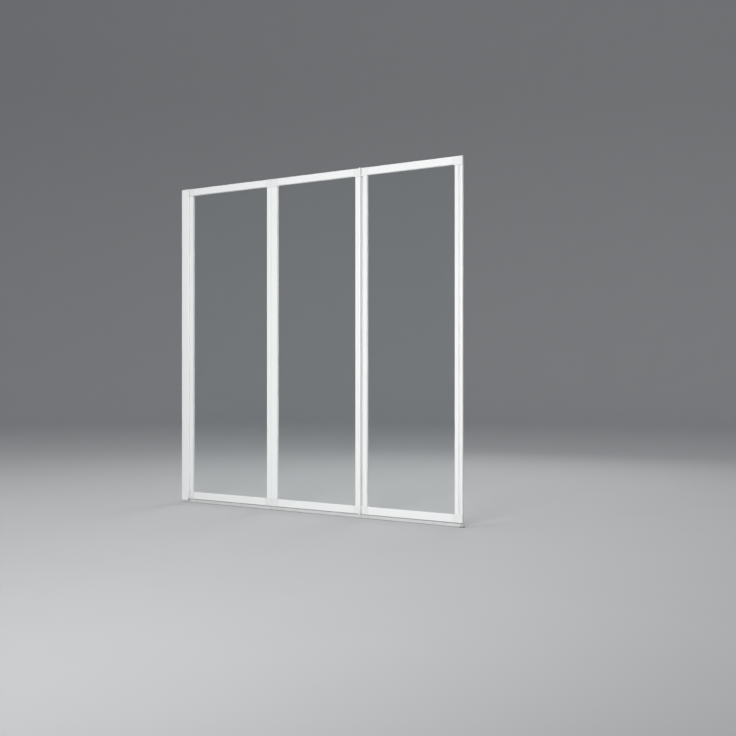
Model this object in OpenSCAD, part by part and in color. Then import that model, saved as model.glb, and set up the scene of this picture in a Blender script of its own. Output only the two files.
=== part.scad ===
// Folding bath screen: three framed leaves of clear glazing, hinged like a concertina.
// It stands on the rim of a bath and a channel holds it to the wall.
// Origin: middle of the channel's fixing holes, on the wall face.
// +X runs along the unfolded screen away from the wall, -Y faces the room, +Z is up.

/* [Leaves] */
// Width of glazing that shows in the leaf beside the wall
glass_w_1 = 374.6; // [250:0.1:460]
// Width of glazing that shows in the middle leaf
glass_w_2 = 354; // [250:1:460]
// Width of glazing that shows in the outer leaf
glass_w_3 = 354; // [250:1:460]
// Height of the leaf frames over both rails
frame_h = 1197; // [700:1:1500]
// Depth of the leaf frames, front to back
leaf_t = 12; // [11.5:0.5:16]

/* [Frame profiles] */
// Height of the rails
rail_h = 25.5; // [20:0.5:32]
// Width of the box of a stile with a hinge bead
bead_stile_w = 16.2; // [14:0.1:22]
// Width of the box of a stile with a hinge seat
seat_stile_w = 15.6; // [13.5:0.1:22]
// Width of the box of the stile at the free end
end_stile_w = 15; // [13:0.1:20]
// Width of the finger groove beside that box
end_groove_w = 4.7; // [3:0.1:12]
// Depth of the finger groove
end_step = 5.5; // [3:0.1:6.5]
// Radius of the round grip bead along the free edge
grip_r = 5; // [3.2:0.1:5.7]
// Wall of every profile
profile_wall = 1.2; // [0.9:0.05:1.4]
// Radius of the long outer edges of the profiles
edge_r = 1.5; // [0.8:0.1:1.8]
// Width of the glazing groove
groove_w = 4.6; // [4.2:0.1:5]
// Depth of the glazing groove in the stiles
groove_depth = 8; // [7.9:0.1:8.5]
// Depth of the glazing groove in the rails
rail_groove_depth = 9; // [8:0.1:11]

/* [Glazing] */
// Thickness of the panes
pane_t = 3; // [2:0.1:3.4]
// How far a pane reaches into its frame
pane_bite = 7; // [4:0.1:7.2]
// How far the gasket shows in front of the frame's edge
gasket_lip = 1.2; // [0.6:0.1:2.5]

/* [Corner connectors] */
// How far a connector covers the end of a rail
rail_lap = 7; // [4:0.5:10]
// How far a connector reaches below its rail
corner_lip = 4; // [2:0.5:6]
// How far the connectors stand proud of the profiles
corner_proud = 0.5; // [0.2:0.05:0.7]
// Radius of the connectors' outer edges
corner_r = 1.2; // [0.6:0.1:1.8]
// Length of the spigots inside the profiles
spigot_l = 20; // [12:1:30]
// Number of grip ribs on a spigot
spigot_ribs = 3; // [2:1:4]

/* [Hinges] */
// How far the hinge axes lie outside the frame's face
axis_proud = 1; // [0.8:0.05:1.4]
// Distance of the axis from the stile with the bead
bead_arm = 4.5; // [4.5:0.1:9]
// Distance of the axis from the stile with the seat
seat_arm = 12.7; // [10:0.1:14]
// Radius of the bead that runs along the axis
bead_r = 4.2; // [3:0.1:4.4]
// Thickness of the neck that carries the bead
neck_t = 1.5; // [1.2:0.1:1.6]
// Thickness of the seat round the bead
seat_t = 1.5; // [1.2:0.1:1.8]
// Thickness of the flange that closes a seam on its other face
flange_t = 2.5; // [2:0.1:3]
// Radius of the knuckles and eyes
knuckle_r = 4.4; // [4:0.1:4.8]
// Height of the rounded tip above a knuckle
knuckle_tip_h = 1.8; // [1.2:0.1:3]
// Height of the eye that turns on the pin below a knuckle
eye_h = 8; // [5:0.5:12]
// Radius of the hinge pins
pin_r = 2; // [1.6:0.1:2.4]
// Thickness of the washers between knuckle and eye
washer_t = 0.6; // [0.4:0.1:1]

/* [Wall side] */
// How far the wall channel stands off the wall
channel_d = 32; // [30:1:45]
// Width of the wall channel beyond the leaf, on each face
channel_margin = 1; // [0.6:0.1:2]
// Side walls of the channel
channel_wall = 1.5; // [1.2:0.1:1.8]
// Radius of the channel's outer edges
channel_r = 0.8; // [0.4:0.1:1]
// Web of the channel, against the wall
channel_web = 2; // [1.5:0.1:3]
// How far the channel reaches below the frames
channel_drop = 6.5; // [4:0.5:10]
// Thickness of the channel's end caps
channel_cap_t = 2; // [1.5:0.1:3]
// Radius of the fixing holes in the channel
fixing_r = 2.6; // [2:0.1:3.2]
// Distance of the outer fixing holes from the ends of the frames
fixing_inset = 58.5; // [40:0.5:100]
// Height of the inner fixing holes above and below the middle
fixing_inner_z = 180; // [80:5:280]
// How far the jamb slides out to meet a wall that is not plumb
adjust_travel = 12; // [6:1:14]
// Distance of the outer clamp screws from the ends of the frames
clamp_inset = 148.5; // [75:0.5:250]
// Radius of the clamp screws
clamp_r = 2; // [1.5:0.1:2.4]

/* [Seal and foot] */
// Height of the sealing strip between the frames and the rim
seal_h = 14.5; // [10:0.5:20]
// Distance between the outer faces of the strip's lips
seal_w = 9; // [8:0.2:10]
// Thickness of the strip's lips
seal_t = 1; // [0.8:0.1:1.4]
// How far a lip splays out at its foot
seal_splay = 0.8; // [0.4:0.1:1]
// Gap between a strip's end and the axis of the hinge or foot beside it
seal_end_gap = 0.6; // [0.4:0.1:4]
// Radius of the foot under the free corner
foot_r = 8.3; // [6:0.1:8.5]
// Distance of the foot's axis from the free end
foot_inset = 4.3; // [4.3:0.1:9]
// Thickness of the foot
foot_h = 3; // [2:0.1:4]
// Radius of the stem that carries the foot
stem_r = 3; // [2.4:0.1:3.2]
// How far the stem reaches into the corner connector
stem_bite = 8; // [5:0.5:12]

/* [Hidden] */
$fn = 48;
WHITE = [0.93, 0.93, 0.92];
MOULDED = [0.88, 0.89, 0.88];
CLEAR = [0.82, 0.9, 0.92, 0.35];
CLEAR_SOFT = [0.72, 0.74, 0.73, 0.75];
STEEL = [0.7, 0.71, 0.72];
NYLON = [0.8, 0.8, 0.78];
RUBBER = [0.25, 0.25, 0.25];

// Clearances
seam_gap = 0.4;      // from each part of a seam to the axis plane
bead_gap = 0.4;      // between a bead and its seat
knuckle_gap = 2;     // between a knuckle and the connector opposite
pin_grip = 0.02;     // pin in its knuckle
pin_play = 0.06;     // pin in the eye that turns on it
slide_gap = 0.3;     // jamb in its channel
spigot_gap = 0.25;   // spigot rib in its chamber
thread_gap = 0.05;   // clamp screw in the jamb
pocket_gap = 0.4;    // floor of a gasket under the pane's edge
gasket_gap = 0.1;    // each side of a gasket in its groove
hinge_gap = 1.8;     // between the wall channel and the knuckles
rest_gap = 0.5;      // jamb block past the channel, and stem above its bore's floor
barb_gap = 0.3;      // barbs of a seal over the wall of its rail
over = 1;            // how far a cut runs past a face

// Hinges along X
bead_reach = bead_stile_w + bead_arm;
seat_reach = seat_stile_w + seat_arm;
end_reach = end_stile_w + end_groove_w + 2 * grip_r;
free_back_r = leaf_t - grip_r;
axis_v = leaf_t / 2 + axis_proud;
axis_0 = channel_d + knuckle_r + hinge_gap;
axis_1 = axis_0 + 2 * bead_reach + glass_w_1;
axis_2 = axis_1 + seat_reach + glass_w_2 + bead_reach;
AXES = [axis_0, axis_1, axis_2];

// Leaves, numbered from the wall: each edge has a kind and the face its axis is on
LEAVES = [1, 2, 3];
GLASS_W = [0, glass_w_1, glass_w_2, glass_w_3];
OPEN_X = [0, axis_0 + bead_reach, axis_1 + seat_reach, axis_2 + seat_reach];
KIND = [["", ""], ["bead", "bead"], ["seat", "bead"], ["seat", "end"]];
FRONT = 0;
BACK = 1;
AXIS_FACE = [[0, 0], [FRONT, BACK], [BACK, FRONT], [FRONT, FRONT]];
LEFT = 0;
RIGHT = 1;
TOP = 0;
BOTTOM = 1;

// Heights
glass_h = frame_h - 2 * rail_h;
corner_h = rail_h + corner_lip;
stile_h = frame_h - 2 * corner_h;
eye_z = frame_h / 2 - corner_h + seam_gap;
knuckle_z = eye_z + eye_h + washer_t;
knuckle_h = frame_h / 2 - knuckle_z;
pin_l = frame_h / 2 - over - eye_z;
washer_r = knuckle_r - 0.2;

// Hinge profile, measured from the axis
seat_r_in = bead_r + bead_gap;
seat_r_out = seat_r_in + seat_t;
seat_from = 40;
seat_to = 118;
seat_post_t = 1.8;
neck_step = 0.5;     // face of the neck behind the face of its stile

// Wall side
channel_w = leaf_t + 2 * channel_margin;
channel_in = channel_w - 2 * channel_wall;
jamb_t = channel_in - 2 * slide_gap;
jamb_x = axis_0 - seat_reach;
clamp_margin = 0.6;
clamp_x = jamb_x + profile_wall + clamp_r + clamp_margin;
clamp_z = frame_h / 2 - clamp_inset;
CLAMP_Z = [-clamp_z, 0, clamp_z];
fixing_outer_z = frame_h / 2 - fixing_inset;
FIXING_Z = [-fixing_outer_z, -fixing_inner_z, fixing_inner_z, fixing_outer_z];
cap_skirt_h = 8;
cap_skirt_wall = 1.2;
clamp_head_r = 4.2;
clamp_head_h = 2.2;
clamp_l = 9;
screw_cap_wall = 1.1;

// Seal and foot
foot_u = end_reach - foot_inset;
stem_flange_h = 1;
stem_flange_w = 1.5;
seal_slot_w = 3;
seal_neck_w = 2.6;
seal_barb_w = 5.6;
seal_barb_h = 2;
seal_bulb_r = 0.8;
barb_margin = 1;
barb_inset = rail_lap + spigot_l + barb_margin;

function kind_of(leaf, side) = KIND[leaf][side];
function reach_of(kind) = kind == "bead" ? bead_reach : kind == "seat" ? seat_reach : end_reach;
function stile_w_of(kind) =
    kind == "bead" ? bead_stile_w : kind == "seat" ? seat_stile_w : end_stile_w;
function leaf_node(leaf, piece) = str("leaf_", leaf, "_", piece);

CORNER_NAMES = [["corner_top_left", "corner_bottom_left"], ["corner_top_right", "corner_bottom_right"]];
STILE_NAMES = ["left_stile", "right_stile"];
RAIL_NAMES = ["top_rail", "bottom_rail"];
HINGE_NAMES = ["wall_hinge", "inner_hinge", "outer_hinge"];
HINGE_FACE = [FRONT, BACK, FRONT];

// ---- outlines: u runs outward from the glass, v from the room side to the bath side ----

// Rectangle with rounded corners, its near edge on u = 0 and centred in v
module soft_rect(w, d, r) {
    translate([r, -d / 2]) square([w - 2 * r, d]);
    translate([0, r - d / 2]) square([w, d - 2 * r]);
    for (u = [r, w - r], v = [r - d / 2, d / 2 - r]) translate([u, v]) circle(r);
}

// What a rounded corner takes off a sharp one, whose point is the origin
module round_off(r) {
    translate([-r, -r]) difference() {
        square(r + over);
        circle(r);
    }
}

// Piece of a ring between two angles
module ring_sector(r_in, r_out, from, to) {
    far = 2 * r_out;
    intersection() {
        difference() {
            circle(r_out);
            circle(r_in);
        }
        polygon([[0, 0], far * [cos(from), sin(from)],
                 far * [cos((from + to) / 2), sin((from + to) / 2)], far * [cos(to), sin(to)]]);
    }
}

// Hollow between the glazing groove and the outer wall, drawn in by inset on every side
module deep_chamber(w, depth, inset) {
    wall = profile_wall + inset;
    translate([depth + wall, wall - leaf_t / 2]) square([w - depth - 2 * wall, leaf_t - 2 * wall]);
}

// That hollow with its two arms beside the glazing groove
module chamber(w, depth) {
    arm_v = groove_w / 2 + profile_wall;
    arm_w = leaf_t / 2 - profile_wall - arm_v;
    for (v = [arm_v, -arm_v - arm_w]) translate([profile_wall, v]) square([w - 2 * profile_wall, arm_w]);
    deep_chamber(w, depth, 0);
}

// Chamber and glazing groove of a box profile
module box_cuts(w, depth) {
    chamber(w, depth);
    translate([-over, -groove_w / 2]) square([depth + over, groove_w]);
}

module box_section(w, depth) {
    difference() {
        soft_rect(w, leaf_t, edge_r);
        box_cuts(w, depth);
    }
}

// Strip that closes a seam on the face away from the axis
module seam_flange(from, reach, depth) {
    translate([from - profile_wall, depth / 2 - flange_t])
        square([reach - seam_gap - from + profile_wall, flange_t]);
}

// Stile with the round bead: the axis is on the v < 0 face
module bead_section() {
    box_section(bead_stile_w, groove_depth);
    translate([bead_reach, -axis_v]) circle(bead_r);
    translate([bead_stile_w - profile_wall, neck_step - leaf_t / 2])
        square([bead_arm + profile_wall, neck_t]);
    seam_flange(bead_stile_w, bead_reach, leaf_t);
}

// Curved seat that turns round the bead, and the post that carries it on the seam's flange
module seat_hook(depth) {
    translate([seat_reach, -axis_v]) {
        mirror([1, 0]) ring_sector(seat_r_in, seat_r_out, seat_from, seat_to);
        difference() {
            translate([-seam_gap - seat_post_t, 0]) square([seat_post_t, axis_v + (depth - flange_t) / 2]);
            circle(seat_r_in);
        }
    }
}

module seat_section() {
    box_section(seat_stile_w, groove_depth);
    seat_hook(leaf_t);
    seam_flange(seat_stile_w, seat_reach, leaf_t);
}

// Free end: box, finger groove on the front, and the edge with its grip bead, rounded off behind
module end_section() {
    groove_v = end_step - leaf_t / 2;
    bead_v = grip_r - leaf_t / 2;
    back_v = leaf_t / 2;
    difference() {
        union() {
            soft_rect(end_stile_w, leaf_t, edge_r);
            difference() {
                union() {
                    translate([end_stile_w - edge_r, groove_v])
                        square([end_reach - end_stile_w + edge_r, back_v - groove_v]);
                    translate([end_reach - grip_r, bead_v]) square([grip_r, back_v - bead_v]);
                }
                translate([end_reach, back_v]) round_off(free_back_r);
            }
            translate([end_reach - grip_r, bead_v]) circle(grip_r);
        }
        box_cuts(end_stile_w, groove_depth);
        difference() {
            translate([end_stile_w, groove_v + profile_wall])
                square([end_reach - profile_wall - end_stile_w, back_v - groove_v - 2 * profile_wall]);
            translate([end_reach - profile_wall, back_v - profile_wall])
                round_off(free_back_r - profile_wall);
        }
    }
}

// ---- placing ----

// Puts u, v and z at one edge of a leaf, with the axis on its own face
module at_edge(leaf, side) {
    translate([OPEN_X[leaf] + (side == RIGHT ? GLASS_W[leaf] : 0), 0, 0])
        mirror([side == LEFT ? 1 : 0, 0, 0])
            mirror([0, AXIS_FACE[leaf][side] == BACK ? 1 : 0, 0]) children();
}

module at_level(level) mirror([0, 0, level == BOTTOM ? 1 : 0]) children();

module along_x(x, length) translate([x, 0, 0]) rotate([90, 0, 90]) linear_extrude(length) children();

module centred_z(height) translate([0, 0, -height / 2]) linear_extrude(height) children();

module at_hinge(hinge) {
    translate([AXES[hinge], HINGE_FACE[hinge] == FRONT ? -axis_v : axis_v, 0]) children();
}

// ---- leaf frames ----

module stile(leaf, side) {
    kind = kind_of(leaf, side);
    color(WHITE) at_edge(leaf, side) centred_z(stile_h) {
        if (kind == "bead") bead_section();
        if (kind == "seat") seat_section();
        if (kind == "end") end_section();
    }
}

module rail(leaf, level) {
    color(WHITE) at_level(level) along_x(OPEN_X[leaf] + rail_lap, GLASS_W[leaf] - 2 * rail_lap)
        translate([0, glass_h / 2]) rotate(90) difference() {
            box_section(rail_h, rail_groove_depth);
            if (level == BOTTOM)
                translate([rail_h - profile_wall - over, -seal_slot_w / 2])
                    square([profile_wall + 2 * over, seal_slot_w]);
        }
}

// Ribbed spigot that fills a deep chamber, growing along -z
module spigot(w, depth) {
    core_inset = 0.8;
    rib_h = 2;
    translate([0, 0, -spigot_l]) linear_extrude(spigot_l + over) deep_chamber(w, depth, core_inset);
    for (rib = [1 : spigot_ribs]) translate([0, 0, -spigot_l * rib / (spigot_ribs + 0.5)])
        linear_extrude(rib_h) deep_chamber(w, depth, spigot_gap);
}

// Block of a corner connector with softened edges, from the rail to its outer end
module corner_block(kind) {
    free = kind == "end";
    length = rail_lap + reach_of(kind) + (free ? corner_proud : -seam_gap);
    d = leaf_t + 2 * corner_proud;
    translate([-rail_lap, 0, 0]) intersection() {
        linear_extrude(corner_h) difference() {
            soft_rect(length, d, corner_r);
            if (free) translate([length, d / 2]) round_off(free_back_r + corner_proud);
        }
        translate([0, -d / 2, corner_h / 2]) rotate([90, 0, 90]) linear_extrude(length)
            soft_rect(d, corner_h, corner_r);
    }
}

// Clears the turning knuckle of the leaf opposite
module knuckle_cut(kind, from, to) {
    translate([reach_of(kind), -axis_v, from]) cylinder(r = knuckle_r + knuckle_gap, h = to - from);
}

module pin_bore(kind, r, from, to) {
    translate([reach_of(kind), -axis_v, from]) cylinder(r = r, h = to - from);
}

// Knuckle at the outer end of the hinge, with its rounded tip
module knuckle(kind, tip_h) {
    tip_cone = 1;
    straight_h = knuckle_h + tip_h - tip_cone;
    translate([reach_of(kind), -axis_v, knuckle_z]) {
        cylinder(r = knuckle_r, h = straight_h);
        translate([0, 0, straight_h]) cylinder(r1 = knuckle_r, r2 = knuckle_r - tip_cone, h = tip_cone);
    }
}

// Eye that turns on the pin, below the knuckle
module eye(kind) {
    translate([reach_of(kind), -axis_v, eye_z]) cylinder(r = knuckle_r, h = eye_h);
}

// Cuts the hinge half that belongs to the neighbour, and bores the own half for the pin
module hinge_cuts(kind) {
    corner_z = frame_h / 2 - corner_h;
    if (kind == "bead") {
        knuckle_cut(kind, corner_z - over, knuckle_z);
        pin_bore(kind, pin_r + pin_grip, knuckle_z - over, frame_h / 2 - over);
    }
    if (kind == "seat") {
        knuckle_cut(kind, knuckle_z - washer_t, frame_h / 2 + over);
        knuckle_cut(kind, corner_z - over, eye_z);
        pin_bore(kind, pin_r + pin_play, eye_z - over, knuckle_z);
    }
}

// Top connector of an edge: block, two spigots, hinge knuckle or eye, glazing pocket
module corner_solid(kind, tip_h) {
    corner_z = frame_h / 2 - corner_h;
    rail_z = glass_h / 2;
    difference() {
        union() {
            translate([0, 0, corner_z]) corner_block(kind);
            translate([0, 0, corner_z]) spigot(stile_w_of(kind), groove_depth);
            translate([-rail_lap, 0, rail_z]) rotate([0, -90, 0]) spigot_along_rail();
            if (kind == "bead") knuckle(kind, tip_h);
            if (kind == "seat") eye(kind);
        }
        translate([-rail_lap, -leaf_t, rail_z - rail_lap]) rotate([-90, 0, 0])
            cylinder(r = rail_lap, h = 2 * leaf_t);
        translate([-rail_lap - over, -groove_w / 2, corner_z - over])
            cube([rail_lap + over + groove_depth, groove_w, rail_z - corner_z + over + rail_groove_depth]);
        hinge_cuts(kind);
    }
}

module spigot_along_rail() mirror([0, 0, 1]) spigot(rail_h, rail_groove_depth);

// The knuckles beside the wall are flush, so that the channel's end caps can meet them
module corner(leaf, side, level) {
    kind = kind_of(leaf, side);
    tip_h = leaf == 1 && side == LEFT ? 0 : knuckle_tip_h;
    color(MOULDED) at_level(level) at_edge(leaf, side) difference() {
        corner_solid(kind, tip_h);
        if (kind == "end" && level == BOTTOM) translate([foot_u, 0, frame_h / 2 - stem_bite])
            cylinder(r = stem_r + thread_gap, h = stem_bite + over);
    }
}

// ---- glazing ----

module slab(leaf, grow, thickness) {
    size = [GLASS_W[leaf] + 2 * grow, thickness, glass_h + 2 * grow];
    translate([OPEN_X[leaf] + GLASS_W[leaf] / 2, 0, 0]) cube(size, center = true);
}

module pane(leaf) color(CLEAR) slab(leaf, pane_bite, pane_t);

// Soft channel round the edge of the pane
module gasket(leaf) {
    color(NYLON) difference() {
        slab(leaf, pane_bite + pocket_gap, groove_w - 2 * gasket_gap);
        slab(leaf, pane_bite, pane_t);
        slab(leaf, -gasket_lip, groove_w + 2 * over);
    }
}

// ---- sealing strip and foot ----

// Cross-section: y across the leaf, z down from the frame's lower edge
module seal_lip() {
    foot_y = seal_w / 2 + seal_splay - seal_bulb_r;
    foot_z = seal_bulb_r - seal_h;
    polygon([[seal_w / 2 - seal_t, 0], [seal_w / 2, 0], [foot_y + seal_bulb_r / 2, foot_z],
             [foot_y - seal_bulb_r / 2, foot_z]]);
    translate([foot_y, foot_z]) circle(seal_bulb_r);
}

module seal_skirt() {
    translate([-seal_w / 2, -seal_t]) square([seal_w, seal_t]);
    for (side = [0, 1]) mirror([side, 0]) seal_lip();
}

module seal_barb() {
    head_z = profile_wall + barb_gap;
    tip_z = head_z + seal_barb_h;
    translate([-seal_neck_w / 2, -seal_t / 2]) square([seal_neck_w, tip_z + seal_t / 2]);
    polygon([[-seal_barb_w / 2, head_z], [seal_barb_w / 2, head_z],
             [seal_neck_w / 2, tip_z], [-seal_neck_w / 2, tip_z]]);
}

function seal_from(leaf) = AXES[leaf - 1] + seal_end_gap;
function seal_to(leaf) = (leaf == 3 ? OPEN_X[3] + glass_w_3 + foot_u : AXES[leaf]) - seal_end_gap;

// Clears the tips of the knuckles between two leaves
module seal_tip_cuts() {
    cut_h = knuckle_tip_h + slide_gap;
    for (hinge = [1, 2]) at_hinge(hinge) translate([0, 0, -frame_h / 2 - cut_h])
        cylinder(r = knuckle_r + slide_gap, h = cut_h + over);
}

module seal(leaf) {
    foot_x = OPEN_X[3] + glass_w_3 + foot_u;
    color(CLEAR_SOFT) difference() {
        union() {
            along_x(seal_from(leaf), seal_to(leaf) - seal_from(leaf))
                translate([0, -frame_h / 2]) seal_skirt();
            along_x(OPEN_X[leaf] + barb_inset, GLASS_W[leaf] - 2 * barb_inset)
                translate([0, -frame_h / 2]) seal_barb();
        }
        seal_tip_cuts();
        if (leaf == 3) translate([foot_x, 0, -frame_h / 2 - seal_h - over]) {
            cylinder(r = foot_r + slide_gap, h = foot_h + stem_flange_h + slide_gap + over);
            cylinder(r = stem_r + slide_gap, h = seal_h + 2 * over);
        }
    }
}

module foot_at() translate([OPEN_X[3] + glass_w_3 + foot_u, 0, -frame_h / 2 - seal_h]) children();

module foot_stem() {
    color(CLEAR_SOFT) foot_at() translate([0, 0, foot_h]) {
        cylinder(r = stem_r, h = seal_h - foot_h + stem_bite - rest_gap);
        cylinder(r = stem_r + stem_flange_w, h = stem_flange_h);
    }
}

module foot_pad() {
    rim = 0.8;
    color(RUBBER) foot_at() {
        cylinder(r = foot_r, h = foot_h - rim);
        translate([0, 0, foot_h - rim]) cylinder(r1 = foot_r, r2 = foot_r - rim, h = rim);
    }
}

// ---- hinge fittings ----

module hinge_pins(hinge) {
    color(STEEL) at_hinge(hinge) for (level = [TOP, BOTTOM]) at_level(level)
        translate([0, 0, eye_z]) cylinder(r = pin_r, h = pin_l);
}

module hinge_washers(hinge) {
    color(NYLON) at_hinge(hinge) for (level = [TOP, BOTTOM]) at_level(level)
        translate([0, 0, knuckle_z - washer_t]) difference() {
            cylinder(r = washer_r, h = washer_t);
            translate([0, 0, -over]) cylinder(r = pin_r + pin_play, h = washer_t + 2 * over);
        }
}

// ---- wall side ----

module channel_outline() {
    soft_rect(channel_d, channel_w, channel_r);
}

module clamp_slot() {
    r = clamp_r + slide_gap;
    for (x = [0, adjust_travel]) translate([x, 0, 0]) cylinder(r = r, h = channel_wall + 2 * over);
    translate([0, -r, 0]) cube([adjust_travel, 2 * r, channel_wall + 2 * over]);
}

module wall_channel() {
    top = frame_h / 2 - channel_cap_t;
    bottom = -frame_h / 2 - channel_drop + channel_cap_t;
    color(WHITE) difference() {
        translate([0, 0, bottom]) linear_extrude(top - bottom) difference() {
            channel_outline();
            translate([channel_web, -channel_in / 2]) square([channel_d, channel_in]);
        }
        for (z = FIXING_Z) translate([-over, 0, z]) rotate([0, 90, 0])
            cylinder(r = fixing_r, h = channel_web + 2 * over);
        for (z = CLAMP_Z) translate([clamp_x, channel_in / 2 - over, z]) rotate([-90, 0, 0]) clamp_slot();
    }
}

// End cap with a hollow skirt behind the jamb
module channel_cap(level) {
    skirt_x = channel_web + slide_gap;
    skirt_l = jamb_x - 2 * slide_gap - skirt_x;
    skirt_w = channel_in - 2 * slide_gap;
    z = level == TOP ? frame_h / 2 : frame_h / 2 + channel_drop;
    color(MOULDED) at_level(level) translate([0, 0, z - channel_cap_t]) {
        linear_extrude(channel_cap_t) channel_outline();
        translate([0, 0, -cap_skirt_h]) linear_extrude(cap_skirt_h + channel_cap_t / 2) difference() {
            translate([skirt_x, -skirt_w / 2]) square([skirt_l, skirt_w]);
            translate([skirt_x + cap_skirt_wall, cap_skirt_wall - skirt_w / 2])
                square([skirt_l - 2 * cap_skirt_wall, skirt_w - 2 * cap_skirt_wall]);
        }
    }
}

// Jamb that slides in the channel: a plain box with a hinge seat
module hinge_jamb() {
    wall = profile_wall;
    color(WHITE) difference() {
        translate([jamb_x, 0, 0]) centred_z(stile_h) {
            difference() {
                translate([0, -jamb_t / 2]) square([seat_stile_w, jamb_t]);
                translate([wall, wall - jamb_t / 2]) square([seat_stile_w - 2 * wall, jamb_t - 2 * wall]);
            }
            seat_hook(jamb_t);
            seam_flange(seat_stile_w, seat_reach, jamb_t);
        }
        for (z = CLAMP_Z) translate([clamp_x, jamb_t / 2 - wall - over, z]) rotate([-90, 0, 0])
            cylinder(r = clamp_r + thread_gap, h = wall + 2 * over);
    }
}

// Moulded end of the jamb, with the eye of the wall hinge
module jamb_block(level) {
    corner_z = frame_h / 2 - corner_h;
    inner_h = corner_h - channel_cap_t - slide_gap;
    outer_u = channel_d + rest_gap - jamb_x;
    d = leaf_t + 2 * corner_proud;
    wall = profile_wall + spigot_gap;
    color(MOULDED) at_level(level) translate([jamb_x, 0, 0]) difference() {
        union() {
            translate([0, -jamb_t / 2, corner_z]) cube([seat_reach - seam_gap, jamb_t, inner_h]);
            translate([outer_u, -d / 2, corner_z]) cube([seat_reach - seam_gap - outer_u, d, inner_h]);
            translate([wall, wall - jamb_t / 2, corner_z - spigot_l])
                cube([seat_stile_w - 2 * wall, jamb_t - 2 * wall, spigot_l + over]);
            eye("seat");
        }
        hinge_cuts("seat");
    }
}

// Runs children outward from the bath side of the channel, at each clamp screw
module at_clamps() {
    for (z = CLAMP_Z) translate([clamp_x, channel_w / 2, z]) rotate([-90, 0, 0]) children();
}

module clamp_screws() {
    drive_w = 0.9;
    drive_l = 5;
    drive_h = 1.2;
    head_slope = 1.2;
    color(STEEL) at_clamps() difference() {
        union() {
            translate([0, 0, -clamp_l]) cylinder(r = clamp_r, h = clamp_l + over);
            cylinder(r = clamp_head_r, h = clamp_head_h / 2);
            translate([0, 0, clamp_head_h / 2])
                cylinder(r1 = clamp_head_r, r2 = clamp_head_r - head_slope, h = clamp_head_h / 2);
        }
        for (turn = [0, 90]) rotate([0, 0, turn])
            translate([-drive_l / 2, -drive_w / 2, clamp_head_h - drive_h]) cube([drive_l, drive_w, drive_h + over]);
    }
}

// Snap-on cover over each clamp screw
module screw_caps() {
    inner_r = clamp_head_r + slide_gap;
    outer_r = inner_r + screw_cap_wall;
    inner_h = clamp_head_h + slide_gap;
    outer_h = inner_h + screw_cap_wall;
    color(MOULDED) at_clamps() rotate_extrude()
        polygon([[inner_r, slide_gap], [outer_r, slide_gap], [outer_r, outer_h - screw_cap_wall],
                 [outer_r - screw_cap_wall, outer_h], [0, outer_h], [0, inner_h], [inner_r, inner_h]]);
}

// ---- nodes ----

wall_channel();
channel_cap(TOP);  // channel_cap_top
channel_cap(BOTTOM);  // channel_cap_bottom
hinge_jamb();
jamb_block(TOP);  // jamb_block_top
jamb_block(BOTTOM);  // jamb_block_bottom
clamp_screws();
screw_caps();
for (leaf = LEAVES) {
    for (side = [LEFT, RIGHT]) {
        stile(leaf, side);
        for (level = [TOP, BOTTOM])
            corner(leaf, side, level);
    }
    for (level = [TOP, BOTTOM])
        rail(leaf, level);
    pane(leaf);
    gasket(leaf);
    seal(leaf);
}
for (hinge = [0 : 2]) {
    hinge_pins(hinge);
    hinge_washers(hinge);
}
foot_stem();
foot_pad();
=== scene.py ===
"""Folding bath screen: three framed clear leaves on a wall channel, unfolded on a pale floor.

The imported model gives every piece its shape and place. This script gives the pieces their finishes and sets up
the floor, the light and the camera. Lengths are in metres: +X runs along the screen away from the wall, -Y faces
the room, +Z is up.
"""
import math
import bmesh
import bpy
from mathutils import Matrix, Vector


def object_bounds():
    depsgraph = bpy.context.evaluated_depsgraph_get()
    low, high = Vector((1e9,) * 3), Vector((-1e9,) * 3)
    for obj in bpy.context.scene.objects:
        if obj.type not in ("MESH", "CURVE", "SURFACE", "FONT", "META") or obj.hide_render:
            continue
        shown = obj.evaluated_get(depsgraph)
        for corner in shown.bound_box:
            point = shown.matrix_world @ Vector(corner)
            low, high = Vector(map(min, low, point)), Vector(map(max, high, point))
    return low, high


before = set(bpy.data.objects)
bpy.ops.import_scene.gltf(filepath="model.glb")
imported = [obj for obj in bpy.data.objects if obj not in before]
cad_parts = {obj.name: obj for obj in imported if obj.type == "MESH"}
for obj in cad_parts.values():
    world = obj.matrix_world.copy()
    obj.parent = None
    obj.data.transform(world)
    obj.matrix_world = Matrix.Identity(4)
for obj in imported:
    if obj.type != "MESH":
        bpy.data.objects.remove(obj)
CAD_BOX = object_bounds()

MM = 0.001
MIDDLE = (CAD_BOX[0] + CAD_BOX[1]) / 2

# Camera
CAMERA_AT = Vector((3.2176, -3.2424, -0.0931))
CAMERA_HEADING = 35.71      # degrees from +Y towards -X; the camera is level
FRAME_PX = 736
FOCAL_PX = 1157.6
SENSOR_W = 36.0             # millimetres, as the camera's own settings are

# Studio
FLOOR_Z = CAD_BOX[0].z      # the rim that the screen stands on
STUDIO_R = 7.0              # flat part of the floor
STUDIO_BEND = 4.0           # radius of the bend between floor and wall
STUDIO_TOP = 8.0            # height of the wall's upper edge over the floor
ROUND_STEPS = 96            # faces round the studio
BEND_STEPS = 12             # faces up the bend
SKY_COLOUR = (0.93, 0.96, 1.0, 1.0)
SKY_STRENGTH = 0.45

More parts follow.
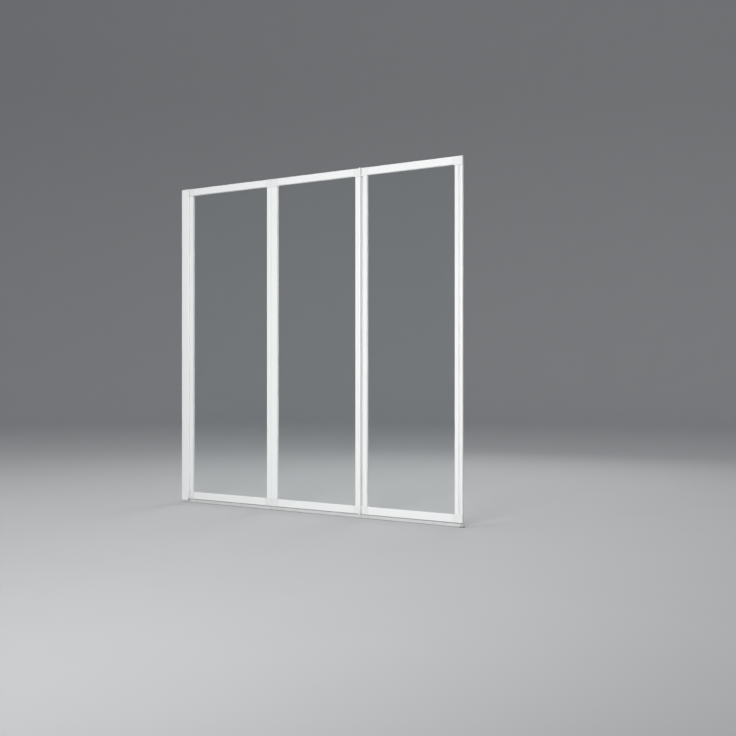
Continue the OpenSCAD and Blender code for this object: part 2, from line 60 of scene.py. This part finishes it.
# Lights: place, point that it faces, width and height, watts, spread in degrees
SOFTBOXES = {
    "key_softbox": ((2.2, -3.8, 0.6), (0.9, 0, 0), (1.3, 1.2), 25, 80),
    "left_softbox": ((-0.8, -2.8, 2.6), MIDDLE, (2.8, 1.8), 45, 180),
    "top_softbox": ((0.6, 0.2, 4.0), MIDDLE, (3.5, 2.5), 40, 180),
    "back_softbox": ((0.2, 3.6, 1.4), MIDDLE, (2.4, 1.8), 14, 90),
}

# Grain of the finishes, in cells to the metre
COAT_PEEL = 520
COAT_LINES = 900
COAT_CLOUD = 7
MOULD_SPARKS = 2600
MOULD_FLOW = 35
GLASS_WAVES = 5
VINYL_HAZE = 60
VINYL_SKIN = 1500
STEEL_RINGS = 1800
RUBBER_BLOOM = 160
PAPER_FIBRE = 4
LINE_STRETCH = 0.012        # share of COAT_LINES that counts along an extrusion, so that its grain runs in lines
RING_STRETCH = 0.1          # share of STEEL_RINGS that counts across an axis, so that its grain runs in rings

# Darkest and lightest tone of each finish
COAT_TONES = (0.76, 0.763, 0.76), (0.80, 0.803, 0.798)
MOULD_TONES = (0.70, 0.705, 0.70), (0.74, 0.744, 0.738)
NYLON_TONES = (0.74, 0.74, 0.70), (0.80, 0.80, 0.76)
GLASS_TONES = (0.965, 0.985, 0.978), (0.985, 0.995, 0.99)
GASKET_TONES = (0.70, 0.71, 0.70), (0.78, 0.785, 0.775)
# The seal's darkest tone is only reached in its painted shade bands
SEAL_TONES = (0.28, 0.285, 0.28), (0.82, 0.83, 0.825)
STEEL_TONES = (0.52, 0.52, 0.51), (0.68, 0.68, 0.67)
RUBBER_TONES = (0.16, 0.16, 0.162), (0.25, 0.25, 0.25)
PAPER_TONES = (0.50, 0.505, 0.51), (0.515, 0.52, 0.525)

# Painted shade bands of a sealing strip, a painted shadow under the rail at its root and a painted contact shade
# where its lip meets the floor: height where the shade ends, height where it is full, and its depth
ROOT_Z = min(corner[2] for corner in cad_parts["leaf_1_bottom_rail"].bound_box)
ROOT_SHADOW_BAND = (ROOT_Z - 3 * MM, ROOT_Z - 2 * MM, 0.8)
LIP_CONTACT_SHADE_BAND = (FLOOR_Z + 3 * MM, FLOOR_Z + 1.5 * MM, 0.6)


# ---- materials ----

class Value:
    """A number that changes over a surface. Its operators add Math nodes to its finish."""

    def __init__(self, finish, socket):
        self.finish = finish
        self.socket = socket

    def _math(self, operation, first, second):
        return self.finish.value("ShaderNodeMath", {"operation": operation}, {0: first, 1: second})

    def __add__(self, other):
        return self._math("ADD", self, other)

    def __radd__(self, other):
        return self._math("ADD", other, self)

    def __sub__(self, other):
        return self._math("SUBTRACT", self, other)

    def __rsub__(self, other):
        return self._math("SUBTRACT", other, self)

    def __mul__(self, other):
        return self._math("MULTIPLY", self, other)

    def __rmul__(self, other):
        return self._math("MULTIPLY", other, self)


class Finish:
    """One material, its shader and the nodes that feed it."""

    def __init__(self, name, **constants):
        self.material = bpy.data.materials.new(name)
        self.material.use_nodes = True
        self.tree = self.material.node_tree
        self.tree.nodes.clear()
        self.shader = self.node("ShaderNodeBsdfPrincipled", {}, constants)
        self.node("ShaderNodeOutputMaterial", {}, {"Surface": self.shader.outputs[0]})
        self.places = self.node("ShaderNodeTexCoord").outputs["Object"]

    def node(self, kind, settings=None, sockets=None):
        """Adds a node: its settings first, then the values or links of its sockets."""
        made = self.tree.nodes.new(kind)
        for name, setting in (settings or {}).items():
            setattr(made, name, setting)
        for name, given in (sockets or {}).items():
            self.put(made.inputs[name], given)
        return made

    def put(self, socket, given):
        if isinstance(given, Value):
            given = given.socket
        if isinstance(given, bpy.types.NodeSocket):
            self.tree.links.new(given, socket)
        else:
            socket.default_value = given

    def value(self, kind, settings=None, sockets=None, output=0):
        return Value(self, self.node(kind, settings, sockets).outputs[output])

    def feed(self, **sockets):
        """Feeds the shader: Base_Color stands for the socket Base Color."""
        for name, given in sockets.items():
            self.put(self.shader.inputs[name.replace("_", " ")], given)

    def stretched(self, scale):
        """Object coordinates, scaled apart along X, Y and Z."""
        settings = {"operation": "MULTIPLY"}
        return self.node("ShaderNodeVectorMath", settings, {0: self.places, 1: scale}).outputs[0]

    def grain(self, scale, detail=2.0, roughness=0.5, places=None):
        """Noise from 0 to 1, with `scale` cells to the metre."""
        sockets = {"Vector": places or self.places, "Scale": scale, "Detail": detail, "Roughness": roughness}
        return self.value("ShaderNodeTexNoise", {}, sockets)

    def height(self):
        """Z of the object coordinates, in metres."""
        return self.value("ShaderNodeSeparateXYZ", {}, {"Vector": self.places}, output=2)

    def rise(self, value, start, end):
        """0 up to start and 1 from end on, smoothly. End may be the lower one."""
        sockets = {"Value": value, "From Min": start, "From Max": end}
        return self.value("ShaderNodeMapRange", {"interpolation_type": "SMOOTHSTEP"}, sockets)

    def tint(self, share, tones):
        """Colour between the two tones, by share from 0 to 1."""
        darkest, lightest = tones
        sockets = {"Factor": share, "A": (*darkest, 1.0), "B": (*lightest, 1.0)}
        mix = self.node("ShaderNodeMix", {"data_type": "RGBA"})
        for socket in mix.inputs:
            if socket.enabled and socket.name in sockets:
                self.put(socket, sockets[socket.name])
        return next(out for out in mix.outputs if out.enabled)

    def relief(self, height, depth, strength=1.0):
        """Bumps of that depth, from a height between 0 and 1."""
        sockets = {"Height": height, "Distance": depth, "Strength": strength}
        return self.node("ShaderNodeBump", {}, sockets).outputs[0]


def powder_coat(name, tones, run):
    """White powder coat on an extrusion: orange peel, and faint die lines along its run."""
    finish = Finish(name, **{"IOR": 1.5})
    peel = finish.grain(COAT_PEEL, detail=3, roughness=0.55)
    drawn = finish.stretched(tuple(LINE_STRETCH if axis == run else 1 for axis in "XYZ"))
    lines = finish.grain(COAT_LINES, detail=1, places=drawn)
    cloud = finish.grain(COAT_CLOUD, detail=2)
    finish.feed(
        Base_Color=finish.tint(cloud, tones),
        Roughness=0.27 + 0.09 * peel + 0.05 * cloud,
        Normal=finish.relief(0.75 * peel + 0.25 * lines, 0.06 * MM, 0.5),
    )
    return finish.material


def moulding(name, tones, roughness):
    """Injection-moulded plastic with a fine spark-eroded surface."""
    finish = Finish(name, **{"IOR": 1.53})
    sparks = finish.grain(MOULD_SPARKS, detail=2)
    flow = finish.grain(MOULD_FLOW, detail=1)
    finish.feed(
        Base_Color=finish.tint(flow, tones),
        Roughness=roughness + 0.08 * sparks,
        Normal=finish.relief(sparks, 0.03 * MM, 0.6),
    )
    return finish.material


def clear_pane(name, tones):
    """Clear glazing: nearly colourless, with a trace of waviness in its reflections."""
    finish = Finish(name, **{"IOR": 1.5, "Transmission Weight": 1.0, "Roughness": 0.0})
    waves = finish.grain(GLASS_WAVES, detail=1)
    finish.feed(
        Base_Color=finish.tint(waves, tones),
        Normal=finish.relief(waves, 0.4 * MM, 0.15),
    )
    return finish.material


def soft_vinyl(name, tones, clearness=0.0, mottle=1.0, bands=()):
    """Soft vinyl, more or less see-through and mottled, with painted shade bands that darken its colour over its
    height.
    """
    finish = Finish(name, **{"IOR": 1.45, "Transmission Weight": clearness})
    haze = finish.grain(VINYL_HAZE, detail=3)
    skin = finish.grain(VINYL_SKIN, detail=1)
    tone = 1 - mottle + mottle * haze
    # Painted shade: each band darkens the tone where shadow falls on the strip
    for ends, full, depth in bands:
        tone = tone - depth * finish.rise(finish.height(), ends, full)
    finish.feed(
        Base_Color=finish.tint(tone, tones),
        Roughness=0.3 + 0.15 * haze,
        Normal=finish.relief(skin, 0.03 * MM, 0.5),
    )
    return finish.material


def turned_steel(name, tones):
    """Bright steel with turning marks round its axis."""
    finish = Finish(name, **{"Metallic": 1.0})
    rings = finish.grain(STEEL_RINGS, detail=1, places=finish.stretched((RING_STRETCH, RING_STRETCH, 1)))
    finish.feed(
        Base_Color=finish.tint(rings, tones),
        Roughness=0.24 + 0.16 * rings,
        Normal=finish.relief(rings, 0.02 * MM, 0.6),
    )
    return finish.material


def matt_rubber(name, tones):
    """Dark rubber with a dull bloom."""
    finish = Finish(name, **{"IOR": 1.45})
    bloom = finish.grain(RUBBER_BLOOM, detail=4)
    finish.feed(
        Base_Color=finish.tint(bloom, tones),
        Roughness=0.6 + 0.25 * bloom,
        Normal=finish.relief(bloom, 0.08 * MM, 0.6),
    )
    return finish.material


UPRIGHT = powder_coat("powder_coat_upright", COAT_TONES, run="Z")
LEVEL = powder_coat("powder_coat_level", COAT_TONES, run="X")
MOULDED = moulding("moulded_white", MOULD_TONES, roughness=0.42)
NYLON = moulding("natural_nylon", NYLON_TONES, roughness=0.45)
GLAZING = clear_pane("clear_glazing", GLASS_TONES)
GASKET = soft_vinyl("pale_gasket", GASKET_TONES)
# The seal carries painted shade: a painted shadow under the rail and a painted contact shade at the floor
SEAL = soft_vinyl("clear_seal", SEAL_TONES, clearness=0.3, mottle=0.2, bands=(ROOT_SHADOW_BAND, LIP_CONTACT_SHADE_BAND))
STEEL = turned_steel("turned_steel", STEEL_TONES)
RUBBER = matt_rubber("matt_rubber", RUBBER_TONES)

# The first ending that a node's name has decides its finish
FINISHES = {
    "_rail": LEVEL,
    "_stile": UPRIGHT,
    "_channel": UPRIGHT,
    "_jamb": UPRIGHT,
    "_pane": GLAZING,
    "_gasket": GASKET,
    "_seal": SEAL,
    "_stem": SEAL,
    "_pins": STEEL,
    "_screws": STEEL,
    "_washers": NYLON,
    "_pad": RUBBER,
}


def finish_nodes():
    for name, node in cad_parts.items():
        finish = next((made for ending, made in FINISHES.items() if name.endswith(ending)), MOULDED)
        for slot in node.material_slots:
            slot.material = finish


def let_light_through():
    """Panes don't darken what is behind them: only the camera, mirrors and glass see them."""
    for name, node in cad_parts.items():
        if name.endswith("_pane"):
            node.visible_shadow = False
            node.visible_diffuse = False


# ---- studio ----

def studio_paper():
    finish = Finish("studio_paper", **{"Roughness": 0.9, "Specular IOR Level": 0.1})
    fibre = finish.grain(PAPER_FIBRE, detail=2)
    finish.feed(Base_Color=finish.tint(fibre, PAPER_TONES))
    return finish.material


def studio_floor():
    """Pale floor that bends up into a wall all round."""
    outline = [(0.0, 0.0), (STUDIO_R, 0.0)]
    for step in range(1, BEND_STEPS + 1):
        turn = math.radians(90 * step / BEND_STEPS)
        outline.append((STUDIO_R + STUDIO_BEND * math.sin(turn), STUDIO_BEND * (1 - math.cos(turn))))
    outline.append((STUDIO_R + STUDIO_BEND, STUDIO_TOP))
    mesh = bmesh.new()
    points = [mesh.verts.new((MIDDLE.x + r, MIDDLE.y, FLOOR_Z + z)) for r, z in outline]
    edges = [mesh.edges.new(pair) for pair in zip(points, points[1:])]
    bmesh.ops.spin(mesh, geom=points + edges, cent=(MIDDLE.x, MIDDLE.y, 0), axis=(0, 0, 1),
                   angle=math.tau, steps=ROUND_STEPS, use_merge=True)
    bmesh.ops.remove_doubles(mesh, verts=mesh.verts, dist=MM)
    bmesh.ops.recalc_face_normals(mesh, faces=mesh.faces)
    bmesh.ops.reverse_faces(mesh, faces=mesh.faces)
    data = bpy.data.meshes.new("studio_floor")
    mesh.to_mesh(data)
    mesh.free()
    data.polygons.foreach_set("use_smooth", [True] * len(data.polygons))
    data.materials.append(studio_paper())
    floor = bpy.data.objects.new("studio_floor", data)
    bpy.context.scene.collection.objects.link(floor)


def softbox(name, at, towards, size, power, spread):
    """Area light that isn't seen through the panes. A spread below 180 degrees keeps it off the floor nearby."""
    lamp = bpy.data.lights.new(name, "AREA")
    lamp.shape = "RECTANGLE"
    lamp.size, lamp.size_y = size
    lamp.energy = power
    lamp.spread = math.radians(spread)
    box = bpy.data.objects.new(name, lamp)
    box.location = at
    box.rotation_euler = (Vector(towards) - Vector(at)).to_track_quat("-Z", "Y").to_euler()
    box.visible_transmission = False
    bpy.context.scene.collection.objects.link(box)


def light_studio():
    world = bpy.data.worlds.new("studio_light")
    bpy.context.scene.world = world
    world.use_nodes = True
    sky = world.node_tree.nodes["Background"]
    sky.inputs["Color"].default_value = SKY_COLOUR
    sky.inputs["Strength"].default_value = SKY_STRENGTH
    for name, placing in SOFTBOXES.items():
        softbox(name, *placing)


def set_camera():
    lens = bpy.data.cameras.new("camera")
    lens.sensor_width = SENSOR_W
    lens.lens = FOCAL_PX * SENSOR_W / FRAME_PX
    camera = bpy.data.objects.new("camera", lens)
    camera.location = CAMERA_AT
    camera.rotation_euler = (math.radians(90), 0, math.radians(CAMERA_HEADING))
    bpy.context.scene.collection.objects.link(camera)
    bpy.context.scene.camera = camera


finish_nodes()
let_light_through()
studio_floor()
light_studio()
set_camera()
bpy.context.scene.view_settings.view_transform = "Standard"
